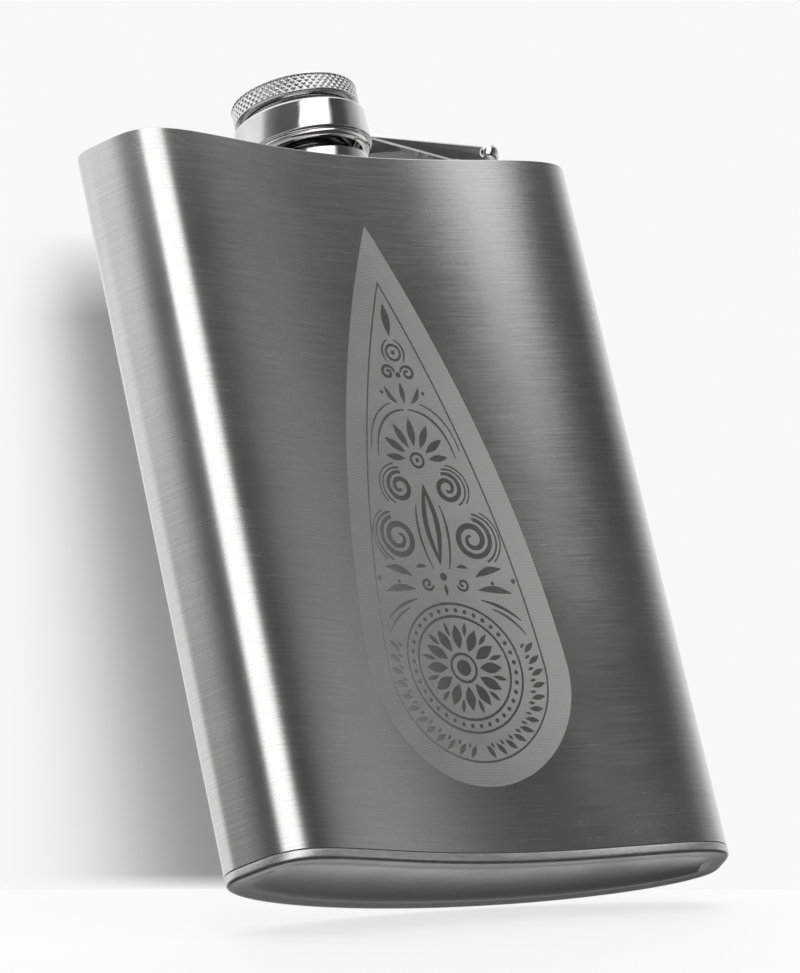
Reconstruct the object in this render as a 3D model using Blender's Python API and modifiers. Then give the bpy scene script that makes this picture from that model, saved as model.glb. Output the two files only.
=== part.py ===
"""Hip flask: a kidney-section stainless body with a captive screw cap on a side hinge.

Frame: +Z up, origin at the middle of the base, +X towards the hinge and -Y towards the
hollow front. Sizes are in metres, written as millimetres times MM.
"""
import math

import bmesh
import bpy
from mathutils import Vector

MM = 0.001
GAP = 0.3 * MM                  # left between pieces that touch on the real flask

# Body
ARC_CHORD = 94.75 * MM          # the section's middle line, from end tip to end tip
ARC_SAGITTA = 9.0 * MM          # how far that line bows towards the back
SECTION_DEPTH = 28.84 * MM      # wall to wall across the line, before the back is flattened
BACK_FLATTENING = 6.4 * MM
FRONT_POWER = 4.4               # superellipse powers: the front corners are the tighter ones
BACK_POWER = 2.0
BODY_HEIGHT = 123.5 * MM
SHEET = 0.6 * MM
SECTION_STEPS = 24              # points in each quarter of the section

# Base and top plates
BASE_BAND = 1.3 * MM
BASE_RIM = 1.4 * MM
BASE_DISH = 0.5 * MM
TOP_PLATE = 1.0 * MM
TOP_RECESS = 0.2 * MM

# Neck
MOUTH_RADIUS = 7.0 * MM
NECK_RADIUS = 7.8 * MM
NECK_RISE = 12.2 * MM           # mouth above the top of the body
NECK_FLANGE_RADIUS = 9.0 * MM
NECK_FLANGE = 0.8 * MM
THREAD_DEPTH = 0.5 * MM
THREAD_PITCH = 1.5 * MM
THREAD_TURNS = 3
THREAD_START = 6.8 * MM         # lowest turn above the top of the body
SHOULDER_RADIUS = 10.6 * MM
SHOULDER_BAND = 1.9 * MM        # height of its straight side, below the sweep
SHOULDER_RISE = 3.7 * MM
SHOULDER_CROWN = 0.5 * MM       # width of the flat on top

# Captive cap
HEAD_RADIUS = 10.7 * MM
HEAD_RISE = 15.8 * MM           # top of the flask above the top of the body
HEAD_HEIGHT = 3.7 * MM
HEAD_ROOF = 1.1 * MM
HEAD_CHAMFER = 0.4 * MM
INSERT_BORE = 8.8 * MM
INSERT_WALL = 0.4 * MM
INSERT_LIP_RADIUS = 10.05 * MM
INSERT_LIP = 0.5 * MM
INSERT_FOOT = 6.5 * MM          # lower end of the insert above the top of the body
SEAL_THICKNESS = 1.2 * MM
COLLAR_RADIUS = 11.4 * MM
COLLAR_TOP = 10.8 * MM
COLLAR_FOOT = 5.4 * MM
COLLAR_BORE = 10.35 * MM
COLLAR_LIP = 0.7 * MM
COLLAR_ROLL_RADIUS = 10.9 * MM
COLLAR_ROLL = 1.3 * MM
COLLAR_STEP = 0.1 * MM          # the roll starts this far below the collar's own foot
COLLAR_EDGE = 0.35 * MM         # chamfer on the collar's edges

# Hinge
PIN_X = 36.0 * MM
PIN_RISE = 6.8 * MM             # pin above the top of the body
PIN_RADIUS = 1.0 * MM
PIN_HEAD_RADIUS = 1.6 * MM
PIN_HEAD_HEIGHT = 0.8 * MM
PIN_HOLE_RADIUS = 1.25 * MM
EYE_RADIUS = 1.8 * MM
ARM_WIDTH = 8.4 * MM
ARM_SHEET = 0.8 * MM
ARM_SIDE_HEIGHT = 1.25 * MM     # height of the arm's sides where they meet the collar
ARM_CLIMB = 0.25 * MM           # the web is this much higher at the collar than over the pin
ARM_DEEP_RUN = 9.0 * MM         # the sides stay at full height this far from the pin
ARM_TAPER_RUN = 24.0 * MM       # and are down to their height at the collar this far from it
WEB_END = 2.4 * MM              # the arm's web stops this far before the pin
LUG_HALF_WIDTH = 1.9 * MM
BRACKET_FOOT = 0.8 * MM
BRACKET_HALF_LENGTH = 3.6 * MM

ROUND_STEPS = 48
HOLE_STEPS = 24
CUTTER_MARGIN = 1.0 * MM        # how far a cutter runs past what it cuts
ARM_OVERRUN = 2.0 * MM          # arm's blank runs this far into the collar before it is cut


def clear_scene():
    for item in list(bpy.data.objects):
        bpy.data.objects.remove(item, do_unlink=True)


def new_collection(name):
    collection = bpy.data.collections.new(name)
    bpy.context.scene.collection.children.link(collection)
    return collection


def steel(name, color, roughness, metallic=1.0):
    material = bpy.data.materials.new(name)
    material.use_nodes = True
    shader = material.node_tree.nodes["Principled BSDF"]
    shader.inputs["Base Color"].default_value = (*color, 1.0)
    shader.inputs["Roughness"].default_value = roughness
    shader.inputs["Metallic"].default_value = metallic
    return material


def add_object(name, mesh, material, collection, location=(0, 0, 0)):
    item = bpy.data.objects.new(name, mesh)
    item.location = location
    collection.objects.link(item)
    if material:
        mesh.materials.append(material)
    return item


# ---------------------------------------------------------------- flat outlines

def section_outline(inset=0.0):
    """Kidney section, clockwise seen from above, moved inwards by inset."""
    half_chord = ARC_CHORD / 2
    arc_radius = (half_chord ** 2 + ARC_SAGITTA ** 2) / (2 * ARC_SAGITTA)
    half_angle = math.asin(half_chord / arc_radius)

    def wall_point(step, side, power):
        along = math.sin(step / SECTION_STEPS * math.pi / 2)
        angle = along * half_angle
        offset = side * SECTION_DEPTH / 2 * max(0.0, 1 - along ** power) ** (1 / power)
        x = (arc_radius + offset) * math.sin(angle)
        y = (arc_radius + offset) * math.cos(angle) - arc_radius
        if side > 0:
            y -= BACK_FLATTENING * (1 - along ** 2)
        return x, y

    back = [wall_point(i, 1, BACK_POWER) for i in range(SECTION_STEPS + 1)]
    front = [wall_point(i, -1, FRONT_POWER) for i in range(SECTION_STEPS)]
    right = back + front[::-1]
    left = [(-x, y) for x, y in right[1:-1]][::-1]
    outline = right + left
    middle = (min(y for _, y in outline) + max(y for _, y in outline)) / 2
    outline = [Vector((x, y - middle)) for x, y in outline]

    moved = []
    for i, point in enumerate(outline):
        run = (outline[(i + 1) % len(outline)] - outline[i - 1]).normalized()
        moved.append(point + inset * Vector((run.y, -run.x)))
    return moved


def circle_outline(radius, centre=(0.0, 0.0), steps=HOLE_STEPS):
    angles = [2 * math.pi * i / steps for i in range(steps)]
    return [(centre[0] + radius * math.cos(a), centre[1] + radius * math.sin(a)) for a in angles]


def arc_outline(radius, start, end, steps=10):
    """Points of an arc about the origin, angles in degrees."""
    angles = [math.radians(start + (end - start) * i / steps) for i in range(steps + 1)]
    return [(radius * math.cos(a), radius * math.sin(a)) for a in angles]


def flat_piece(name, outlines, thickness, material, collection, location, upright=False):
    """Filled 2D outlines (the first outer, the rest holes) made a solid mesh of one thickness.

    The piece is centred on its plane. An upright piece has its outline in XZ, not in XY.
    """
    curve = bpy.data.curves.new(name, "CURVE")
    curve.dimensions = "2D"
    curve.fill_mode = "BOTH"
    curve.extrude = thickness / 2
    for outline in outlines:
        spline = curve.splines.new("POLY")
        spline.points.add(len(outline) - 1)
        for point, (x, y) in zip(spline.points, outline):
            point.co = (x, y, 0, 1)
        spline.use_cyclic_u = True
    source = bpy.data.objects.new(name + "_outline", curve)
    source.location = location
    source.rotation_euler = (math.pi / 2 if upright else 0, 0, 0)
    collection.objects.link(source)
    bpy.context.view_layer.update()
    evaluated = source.evaluated_get(bpy.context.evaluated_depsgraph_get())
    mesh = bpy.data.meshes.new_from_object(evaluated)
    mesh.name = name
    weld(mesh)
    item = add_object(name, mesh, material, collection)
    item.matrix_world = source.matrix_world
    bpy.data.objects.remove(source, do_unlink=True)
    return item


def weld(mesh):
    work = bmesh.new()
    work.from_mesh(mesh)
    bmesh.ops.remove_doubles(work, verts=work.verts, dist=0.001 * MM)
    bmesh.ops.recalc_face_normals(work, faces=work.faces)
    work.to_mesh(mesh)
    work.free()


# ---------------------------------------------------------------- turned pieces

def turned_piece(name, profile, material, collection, location, closed=True):
    """Profile of (radius, height) points turned about Z, listed down the outer side first."""
    mesh = bpy.data.meshes.new(name)
    count = len(profile)
    edges = [(i, i + 1) for i in range(count - 1)]
    if closed:
        edges.append((count - 1, 0))
    mesh.from_pydata([(r, 0, z) for r, z in profile], edges, [])
    item = add_object(name, mesh, material, collection, location)
    screw = item.modifiers.new("Turn", "SCREW")
    screw.steps = ROUND_STEPS
    screw.render_steps = ROUND_STEPS
    screw.use_merge_vertices = True
    screw.merge_threshold = 0.001 * MM
    screw.use_smooth_shade = True
    return item


def cylinder(name, radius, length, material, collection, location):
    mesh = bpy.data.meshes.new(name)
    work = bmesh.new()
    bmesh.ops.create_cone(work, cap_ends=True, segments=ROUND_STEPS, radius1=radius,
                          radius2=radius, depth=length)
    work.to_mesh(mesh)
    work.free()
    return add_object(name, mesh, material, collection, location)


def boolean(item, tool, operation="DIFFERENCE"):
    modifier = item.modifiers.new(tool.name, "BOOLEAN")
    modifier.operation = operation
    modifier.solver = "EXACT"
    modifier.object = tool
    tool.hide_render = True
    tool.display_type = "WIRE"


# ---------------------------------------------------------------- body

def make_body_shell(material, parts):
    foot = BASE_BAND + GAP
    mesh = bpy.data.meshes.new("body_shell")
    work = bmesh.new()
    ring = [work.verts.new((p.x, p.y, foot)) for p in section_outline()]
    edges = [work.edges.new((ring[i - 1], ring[i])) for i in range(len(ring))]
    wall = bmesh.ops.extrude_edge_only(work, edges=edges)["geom"]
    raised = [v for v in wall if isinstance(v, bmesh.types.BMVert)]
    bmesh.ops.translate(work, vec=(0, 0, BODY_HEIGHT - foot), verts=raised)
    bmesh.ops.recalc_face_normals(work, faces=work.faces)
    if sum(face.normal.dot(face.calc_center_median()) for face in work.faces) < 0:
        bmesh.ops.reverse_faces(work, faces=work.faces)
    work.to_mesh(mesh)
    work.free()
    shell = add_object("body_shell", mesh, material, parts)
    wall_sheet = shell.modifiers.new("Sheet", "SOLIDIFY")
    wall_sheet.thickness = SHEET
    wall_sheet.offset = -1
    wall_sheet.use_even_offset = True
    return shell


def make_base_plate(material, parts, cutters):
    plate = flat_piece("base_plate", [section_outline()], BASE_BAND, material, parts,
                       (0, 0, BASE_BAND / 2))
    dish = flat_piece("base_dish_cutter", [section_outline(BASE_RIM)], 2 * BASE_DISH, None,
                      cutters, (0, 0, 0))
    boolean(plate, dish)
    return plate


def make_top_plate(material, parts, cap_y):
    hole = circle_outline(NECK_RADIUS + GAP, (0, cap_y), ROUND_STEPS)
    middle = BODY_HEIGHT - TOP_RECESS - TOP_PLATE / 2
    return flat_piece("top_plate", [section_outline(SHEET + GAP), hole], TOP_PLATE, material,
                      parts, (0, 0, middle))


# ---------------------------------------------------------------- neck

def make_neck(material, parts, cutters, axis):
    flange_top = -(TOP_RECESS + TOP_PLATE + GAP)
    profile = [
        (MOUTH_RADIUS, NECK_RISE),
        (NECK_RADIUS, NECK_RISE),
        (NECK_RADIUS, flange_top),
        (NECK_FLANGE_RADIUS, flange_top),
        (NECK_FLANGE_RADIUS, flange_top - NECK_FLANGE),
        (MOUTH_RADIUS, flange_top - NECK_FLANGE),
    ]
    neck = turned_piece("neck", profile, material, parts, axis)
    boolean(neck, make_thread(cutters, axis), "UNION")
    return neck


def make_thread(cutters, axis):
    """Round-crested helix of the neck's thread, as a solid bar to be joined to the neck."""
    steps = 24
    curve = bpy.data.curves.new("neck_thread", "CURVE")
    curve.dimensions = "3D"
    curve.bevel_depth = THREAD_DEPTH
    curve.bevel_resolution = 1
    curve.use_fill_caps = True
    count = THREAD_TURNS * steps + 1
    spline = curve.splines.new("POLY")
    spline.points.add(count - 1)
    for i, point in enumerate(spline.points):
        turn = i / steps
        angle = 2 * math.pi * turn
        height = THREAD_START + THREAD_PITCH * turn
        point.co = (NECK_RADIUS * math.cos(angle), NECK_RADIUS * math.sin(angle), height, 1)
    source = bpy.data.objects.new("neck_thread_helix", curve)
    source.location = axis
    cutters.objects.link(source)
    bpy.context.view_layer.update()
    evaluated = source.evaluated_get(bpy.context.evaluated_depsgraph_get())
    mesh = bpy.data.meshes.new_from_object(evaluated)
    weld(mesh)
    thread = add_object("neck_thread_bar", mesh, None, cutters)
    thread.matrix_world = source.matrix_world
    bpy.data.objects.remove(source, do_unlink=True)
    return thread


def make_neck_shoulder(material, parts, axis):
    """Polished ring that stands on the top plate round the neck, with a swept shoulder."""
    bore = NECK_RADIUS + GAP
    foot = GAP / 2
    crown = bore + SHOULDER_CROWN
    sweep = 6
    profile = [(bore, SHOULDER_RISE), (crown, SHOULDER_RISE)]
    for i in range(1, sweep + 1):
        angle = math.pi / 2 * i / sweep
        profile.append((SHOULDER_RADIUS - (SHOULDER_RADIUS - crown) * math.cos(angle),
                        SHOULDER_RISE - (SHOULDER_RISE - SHOULDER_BAND) * math.sin(angle)))
    profile += [(SHOULDER_RADIUS, foot), (bore, foot)]
    return turned_piece("neck_shoulder", profile, material, parts, axis)


# ---------------------------------------------------------------- cap

def make_cap_top(material, parts, axis):
    foot = HEAD_RISE - HEAD_HEIGHT
    well = INSERT_BORE + INSERT_WALL + GAP
    profile = [
        (0, HEAD_RISE),
        (HEAD_RADIUS - HEAD_CHAMFER, HEAD_RISE),
        (HEAD_RADIUS, HEAD_RISE - HEAD_CHAMFER),
        (HEAD_RADIUS, foot + HEAD_CHAMFER),
        (HEAD_RADIUS - HEAD_CHAMFER, foot),
        (well, foot),
        (well, HEAD_RISE - HEAD_ROOF),
        (0, HEAD_RISE - HEAD_ROOF),
    ]
    return turned_piece("cap_top", profile, material, parts, axis, closed=False)


def make_cap_insert(material, parts, axis):
    roof = HEAD_RISE - HEAD_ROOF - GAP
    outer = INSERT_BORE + INSERT_WALL
    profile = [
        (0, roof),
        (outer, roof),
        (outer, INSERT_FOOT + INSERT_LIP),
        (INSERT_LIP_RADIUS, INSERT_FOOT + INSERT_LIP),
        (INSERT_LIP_RADIUS, INSERT_FOOT),
        (INSERT_BORE, INSERT_FOOT),
        (INSERT_BORE, roof - INSERT_WALL),
        (0, roof - INSERT_WALL),
    ]
    return turned_piece("cap_insert", profile, material, parts, axis, closed=False)


def make_cap_seal(material, parts, axis):
    middle = NECK_RISE + GAP + SEAL_THICKNESS / 2
    return cylinder("cap_seal", INSERT_BORE - GAP, SEAL_THICKNESS, material, parts,
                    (axis[0], axis[1], axis[2] + middle))


def make_collar_ring(material, parts, axis):
    roll_bore = INSERT_BORE + INSERT_WALL + GAP
    roll_foot = COLLAR_FOOT - COLLAR_ROLL
    profile = [
        (roll_bore, COLLAR_TOP),
        (COLLAR_RADIUS - COLLAR_EDGE, COLLAR_TOP),
        (COLLAR_RADIUS, COLLAR_TOP - COLLAR_EDGE),
        (COLLAR_RADIUS, COLLAR_FOOT),
        (COLLAR_ROLL_RADIUS, COLLAR_FOOT - COLLAR_STEP),
        (COLLAR_ROLL_RADIUS, roll_foot + COLLAR_EDGE),
        (COLLAR_ROLL_RADIUS - COLLAR_EDGE, roll_foot),
        (roll_bore, roll_foot),
        (roll_bore, COLLAR_FOOT - COLLAR_EDGE),
        (COLLAR_BORE, COLLAR_FOOT),
        (COLLAR_BORE, COLLAR_TOP - COLLAR_LIP),
        (roll_bore, COLLAR_TOP - COLLAR_LIP),
    ]
    return turned_piece("collar_ring", profile, material, parts, axis)


# ---------------------------------------------------------------- hinge

def make_hinge_arm(material, parts, cutters, pin):
    """Stamped channel: a web with turned-down sides, drilled for the pin.

    The outline is in the plane of the swing, measured from the pin.
    """
    collar_end = -(PIN_X - COLLAR_RADIUS + ARM_OVERRUN)
    top_at_collar = EYE_RADIUS + ARM_CLIMB
    side_foot = top_at_collar - ARM_SIDE_HEIGHT
    outline = [(collar_end, top_at_collar)]
    outline += arc_outline(EYE_RADIUS, 90, -90)
    outline += [(-ARM_DEEP_RUN, -EYE_RADIUS), (-ARM_TAPER_RUN, side_foot),
                (collar_end, side_foot)]
    hole = circle_outline(PIN_HOLE_RADIUS)
    arm = flat_piece("hinge_arm", [outline, hole], ARM_WIDTH, material, parts, pin, upright=True)

    inner = ARM_WIDTH - 2 * ARM_SHEET
    clear = EYE_RADIUS + CUTTER_MARGIN
    channel = [(collar_end - CUTTER_MARGIN, top_at_collar - ARM_SHEET),
               (-WEB_END, EYE_RADIUS - ARM_SHEET),
               (-WEB_END, clear),
               (clear, clear),
               (clear, -clear),
               (collar_end - CUTTER_MARGIN, -clear)]
    boolean(arm, flat_piece("arm_channel_cutter", [channel], inner, None, cutters, pin,
                            upright=True))
    boolean(arm, cylinder("arm_seat_cutter", COLLAR_RADIUS + GAP, 3 * ARM_WIDTH, None, cutters,
                          (0, pin[1], pin[2])))
    return arm


def make_hinge_bracket(material, parts, pin):
    """Foot and knuckle of one outline, standing between the arm's sides."""
    foot = GAP / 2 - PIN_RISE
    outline = arc_outline(LUG_HALF_WIDTH, 180, 0)
    outline += [(LUG_HALF_WIDTH, foot + BRACKET_FOOT), (BRACKET_HALF_LENGTH, foot + BRACKET_FOOT),
                (BRACKET_HALF_LENGTH, foot), (-BRACKET_HALF_LENGTH, foot),
                (-BRACKET_HALF_LENGTH, foot + BRACKET_FOOT),
                (-LUG_HALF_WIDTH, foot + BRACKET_FOOT)]
    width = ARM_WIDTH - 2 * ARM_SHEET - 2 * GAP
    return flat_piece("hinge_bracket", [outline, circle_outline(PIN_HOLE_RADIUS)], width,
                      material, parts, pin, upright=True)


def make_hinge_pin(material, parts, pin):
    """Pin with a domed head at each end, turned about its own axis and laid along Y."""
    inner = ARM_WIDTH / 2 + GAP
    dome = 4
    profile = [(0, inner + PIN_HEAD_HEIGHT)]
    for i in range(1, dome + 1):
        angle = math.pi / 2 * i / dome
        profile.append((PIN_HEAD_RADIUS * math.sin(angle),
                        inner + PIN_HEAD_HEIGHT * math.cos(angle)))
    profile.append((PIN_RADIUS, inner))
    profile += [(r, -z) for r, z in reversed(profile)]
    piece = turned_piece("hinge_pin", profile, material, parts, pin, closed=False)
    piece.modifiers["Turn"].steps = HOLE_STEPS
    piece.modifiers["Turn"].render_steps = HOLE_STEPS
    piece.rotation_euler = (math.pi / 2, 0, 0)
    return piece


# ---------------------------------------------------------------- assembly

def main():
    clear_scene()
    parts = new_collection("hip_flask")
    cutters = new_collection("cutters")

    brushed = steel("brushed_steel", (0.56, 0.55, 0.53), 0.32)
    ground = steel("ground_steel", (0.60, 0.59, 0.58), 0.38)
    polished = steel("polished_steel", (0.66, 0.65, 0.63), 0.10)
    knurled = steel("knurled_steel", (0.68, 0.67, 0.65), 0.22)
    silicone = steel("clear_silicone", (0.82, 0.82, 0.80), 0.45, metallic=0.0)

    cap_y = max(point.y for point in section_outline()) - COLLAR_RADIUS
    axis = (0, cap_y, BODY_HEIGHT)
    pin = (PIN_X, cap_y, BODY_HEIGHT + PIN_RISE)

    make_body_shell(brushed, parts)
    make_base_plate(ground, parts, cutters)
    make_top_plate(ground.copy(), parts, cap_y)

    make_neck(polished, parts, cutters, axis)
    make_neck_shoulder(polished.copy(), parts, axis)

    make_cap_top(knurled, parts, axis)
    make_cap_insert(polished.copy(), parts, axis)
    make_cap_seal(silicone, parts, axis)
    make_collar_ring(polished.copy(), parts, axis)

    make_hinge_arm(polished.copy(), parts, cutters, pin)
    make_hinge_bracket(ground.copy(), parts, pin)
    make_hinge_pin(polished.copy(), parts, pin)

    for item in parts.objects:
        item.data.shade_smooth()
        item.data.set_sharp_from_angle(angle=math.radians(30))


main()
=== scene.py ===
"""Looks of the hip flask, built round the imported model.

Everything is in the model's frame: metres, +Z up, +X towards the hinge and -Y out of the
hollow front. Shapes are written in millimetres and scaled once, when their mesh is made.
"""
import math

import bmesh
import bpy
import numpy as np
from mathutils import Matrix, Vector


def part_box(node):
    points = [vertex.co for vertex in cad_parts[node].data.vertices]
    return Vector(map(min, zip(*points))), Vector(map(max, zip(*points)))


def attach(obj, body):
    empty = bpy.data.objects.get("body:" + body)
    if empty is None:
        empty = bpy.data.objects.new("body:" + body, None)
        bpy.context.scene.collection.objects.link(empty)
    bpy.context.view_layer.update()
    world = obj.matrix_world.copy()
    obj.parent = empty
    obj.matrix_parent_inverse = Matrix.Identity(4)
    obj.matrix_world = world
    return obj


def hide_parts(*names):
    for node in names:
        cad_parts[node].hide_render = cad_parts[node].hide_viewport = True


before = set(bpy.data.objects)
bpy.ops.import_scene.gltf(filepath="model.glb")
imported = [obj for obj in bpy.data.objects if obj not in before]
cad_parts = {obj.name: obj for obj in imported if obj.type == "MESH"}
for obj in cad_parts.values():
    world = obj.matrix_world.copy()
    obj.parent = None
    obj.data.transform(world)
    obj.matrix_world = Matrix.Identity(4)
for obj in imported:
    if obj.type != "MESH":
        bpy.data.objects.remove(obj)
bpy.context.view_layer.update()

MM = 0.001


def node_box(name):
    """Lowest and highest corner of a CAD node, in millimetres."""
    low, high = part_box(name)
    return low / MM, high / MM


# ---- sizes, in millimetres

# Section of the body: a bowed middle line with a rounded wall on either side of it
ARC_CHORD = 94.75
ARC_SAGITTA = 9.0
SECTION_DEPTH = 28.84
BACK_FLATTENING = 6.4
FRONT_POWER = 4.4
BACK_POWER = 2.0
SECTION_STEPS = 110             # points in each quarter of the section

shell_low, shell_high = node_box("body_shell")
top_low, top_high = node_box("top_plate")
collar_low, collar_high = node_box("collar_ring")
head_low, head_high = node_box("cap_top")
insert_low, insert_high = node_box("cap_insert")
seal_low, seal_high = node_box("cap_seal")
neck_low, neck_high = node_box("neck")
shoulder_low, shoulder_high = node_box("neck_shoulder")
arm_low, arm_high = node_box("hinge_arm")
bracket_low, bracket_high = node_box("hinge_bracket")
pin_low, pin_high = node_box("hinge_pin")

SHEET = 0.6
BODY_TOP = shell_high.z
SEAM = 0.06                     # open line between the shell and the base plate
BASE_TOP = shell_low.z - SEAM
AXIS_Y = (collar_low.y + collar_high.y) / 2
HEAD_RADIUS = (head_high.x - head_low.x) / 2
COLLAR_RADIUS = (collar_high.x - collar_low.x) / 2
INSERT_LIP_RADIUS = (insert_high.x - insert_low.x) / 2
SEAL_RADIUS = (seal_high.x - seal_low.x) / 2
NECK_FLANGE_RADIUS = (neck_high.x - neck_low.x) / 2
SHOULDER_RADIUS = (shoulder_high.x - shoulder_low.x) / 2
NECK_RADIUS = 7.8
MOUTH_RADIUS = 7.0
THREAD_DEPTH = 0.5
THREAD_PITCH = 1.5
THREAD_TURNS = 3.0
THREAD_START = 6.8              # above the top of the body
THREAD_HALF_WIDTH = 0.36        # of the crest, as a share of the pitch
THREAD_RUN = 1 / 6              # turns over which it rises from the tube and sinks again
INSERT_BORE = 8.8
INSERT_WALL = 0.4
COLLAR_ROLL_RADIUS = 10.9
COLLAR_ROLL = 1.3
COLLAR_BORE = 10.35
PIN = Vector(((pin_low.x + pin_high.x) / 2, AXIS_Y, (pin_low.z + pin_high.z) / 2))
PIN_HEAD_RADIUS = (pin_high.x - pin_low.x) / 2
PIN_RADIUS = 1.0
PIN_HOLE_RADIUS = 1.1           # closer on the pin than in the CAD
EYE_RADIUS = 1.8
ARM_WIDTH = arm_high.y - arm_low.y
ARM_SHEET = 0.8

TURNED_STEPS = 192              # points round a turned piece
SMOOTH_ANGLE = 35.0             # faces that meet at less are shaded as one surface


# ---- profiles and meshes

def rounded(corners, steps=5, closed=False):
    """Profile of (reach, height, radius) corners with each corner turned into an arc."""
    count = len(corners)
    profile = []
    for i, (x, z, radius) in enumerate(corners):
        if not radius or (not closed and i in (0, count - 1)):
            profile.append((x, z))
            continue
        corner = Vector((x, z))
        before = (Vector(corners[i - 1][:2]) - corner).normalized()
        after = (Vector(corners[(i + 1) % count][:2]) - corner).normalized()
        half = before.angle(after) / 2
        centre = corner + (before + after).normalized() * radius / math.sin(half)
        start = (corner + before * radius / math.tan(half) - centre).normalized()
        end = (corner + after * radius / math.tan(half) - centre).normalized()
        for k in range(steps + 1):
            point = centre + start.slerp(end, k / steps) * radius
            profile.append((point.x, point.y))
    return profile


def add_object(name, data):
    """New object with this data, in the scene."""
    item = bpy.data.objects.new(name, data)
    bpy.context.scene.collection.objects.link(item)
    return item


def mesh_object(name, work):
    """bmesh in millimetres, closed up and turned outwards, as an object in metres."""
    bmesh.ops.remove_doubles(work, verts=work.verts, dist=0.0005)
    bmesh.ops.dissolve_degenerate(work, edges=work.edges, dist=0.0002)
    bmesh.ops.recalc_face_normals(work, faces=work.faces)
    bmesh.ops.scale(work, vec=(MM, MM, MM), verts=work.verts)
    mesh = bpy.data.meshes.new(name)
    work.to_mesh(mesh)
    work.free()
    mesh.shade_smooth()
    mesh.set_sharp_from_angle(angle=math.radians(SMOOTH_ANGLE))
    return add_object(name, mesh)


def add_grid(work, rings, closed_profile=True):
    """Quads between neighbouring closed rings of points, with UVs that follow the ring."""
    uv = work.loops.layers.uv.verify()
    around = len(rings[0])
    rows = [[work.verts.new(point) for point in ring] for ring in rings]
    for i in range(len(rows) if closed_profile else len(rows) - 1):
        low, high = rows[i], rows[(i + 1) % len(rows)]
        for k in range(around):
            n = (k + 1) % around
            face = work.faces.new((low[k], low[n], high[n], high[k]))
            for loop, u, v in zip(face.loops, (k, k + 1, k + 1, k), (i, i, i + 1, i + 1)):
                loop[uv].uv = (u / around, v / len(rows))
    return rows


def turned(name, profile, centre=None, relief=None, steps=TURNED_STEPS):
    """Profile of (radius, height) turned about the vertical through centre, as a closed mesh.

    A third number in a row is its share of the relief, a function of turn and height.
    """
    centre = centre or Vector((0, AXIS_Y, 0))
    turn = np.linspace(0, 2 * math.pi, steps, endpoint=False)
    rings = []
    for radius, height, *share in profile:
        reach = np.full(steps, float(radius))
        if share and share[0]:
            reach += share[0] * relief(turn, height)
        rings.append(np.c_[centre.x + reach * np.cos(turn), centre.y + reach * np.sin(turn),
                           np.full(steps, height + centre.z)])
    work = bmesh.new()
    add_grid(work, rings)
    return mesh_object(name, work)


# ---- section of the body

half_chord = ARC_CHORD / 2
arc_radius = (half_chord ** 2 + ARC_SAGITTA ** 2) / (2 * ARC_SAGITTA)
half_angle = math.asin(half_chord / arc_radius)


def wall(side, power):
    """One wall from the middle to the right tip, as (x, y) at equal steps along it."""
    turn = np.linspace(0, math.pi / 2, 4000)
    reach = (np.sin(turn) ** power + np.cos(turn) ** power) ** (-1 / power)
    along, depth = reach * np.sin(turn), reach * np.cos(turn)
    offset = side * SECTION_DEPTH / 2 * depth
    x = (arc_radius + offset) * np.sin(along * half_angle)
    y = (arc_radius + offset) * np.cos(along * half_angle) - arc_radius
    if side > 0:
        y -= BACK_FLATTENING * (1 - along ** 2)
    run = np.append(0, np.cumsum(np.hypot(np.diff(x), np.diff(y))))
    even = np.linspace(0, run[-1], SECTION_STEPS + 1)
    return np.c_[np.interp(even, run, x), np.interp(even, run, y)]


def section():
    """Ring from the left tip over the back to the right tip and home along the front."""
    back, front = wall(1, BACK_POWER), wall(-1, FRONT_POWER)
    right = np.vstack([back, front[-2::-1]])
    left = right[-2:0:-1] * (-1, 1)
    ring = np.roll(np.vstack([right, left]), SECTION_STEPS, axis=0)
    middle = (shell_low.y + shell_high.y) / 2
    ring[:, 1] += middle - (ring[:, 1].min() + ring[:, 1].max()) / 2
    return ring


def outward(ring):
    """Unit vectors that point out of the section at each of its points."""
    run = np.roll(ring, -1, axis=0) - np.roll(ring, 1, axis=0)
    run /= np.hypot(run[:, 0], run[:, 1])[:, None]
    return np.c_[-run[:, 1], run[:, 0]]


SECTION = section()
SECTION_OUT = outward(SECTION)


def level(inset, height):
    """The body's section moved inwards, as a ring of points at one height."""
    ring = SECTION - SECTION_OUT * inset
    return np.c_[ring, np.full(len(ring), height)]


def add_deck(work, ring, rise=0.0, rows=14):
    """Closes a ring of the section with a grid between its front and back, crowned by rise."""
    half = len(ring) // 2
    back = ring[:half + 1]
    front = np.vstack([ring[:1], ring[:half - 1:-1]])
    width = np.abs(back[:, 1] - front[:, 1])
    crown = rise * np.clip(width / width.max(), 0, 1)
    across = np.linspace(0, 1, rows + 1)
    lines = [[back[i] + (front[i] - back[i]) * t + np.array((0, 0, crown[i] * 4 * t * (1 - t)))
              for t in across] for i in range(half + 1)]
    verts = [[work.verts.new(point) for point in line] for line in lines]
    uv = work.loops.layers.uv.verify()
    for i in range(half):
        for k in range(rows):
            corners = (verts[i][k], verts[i + 1][k], verts[i + 1][k + 1], verts[i][k + 1])
            face = work.faces.new(corners)
            for loop in face.loops:
                loop[uv].uv = loop.vert.co.xy * 0.01


def on_front(x, z, proud):
    """Point of the hollow front at x and z, moved out of it by proud."""
    lower = SECTION[SECTION_STEPS * 2:]
    order = np.argsort(lower[:, 0])
    out = SECTION_OUT[SECTION_STEPS * 2:][order]
    lower = lower[order]
    y = np.interp(x, lower[:, 0], lower[:, 1])
    return (x + proud * np.interp(x, lower[:, 0], out[:, 0]),
            y + proud * np.interp(x, lower[:, 0], out[:, 1]), z)


# ---- body pieces

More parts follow.
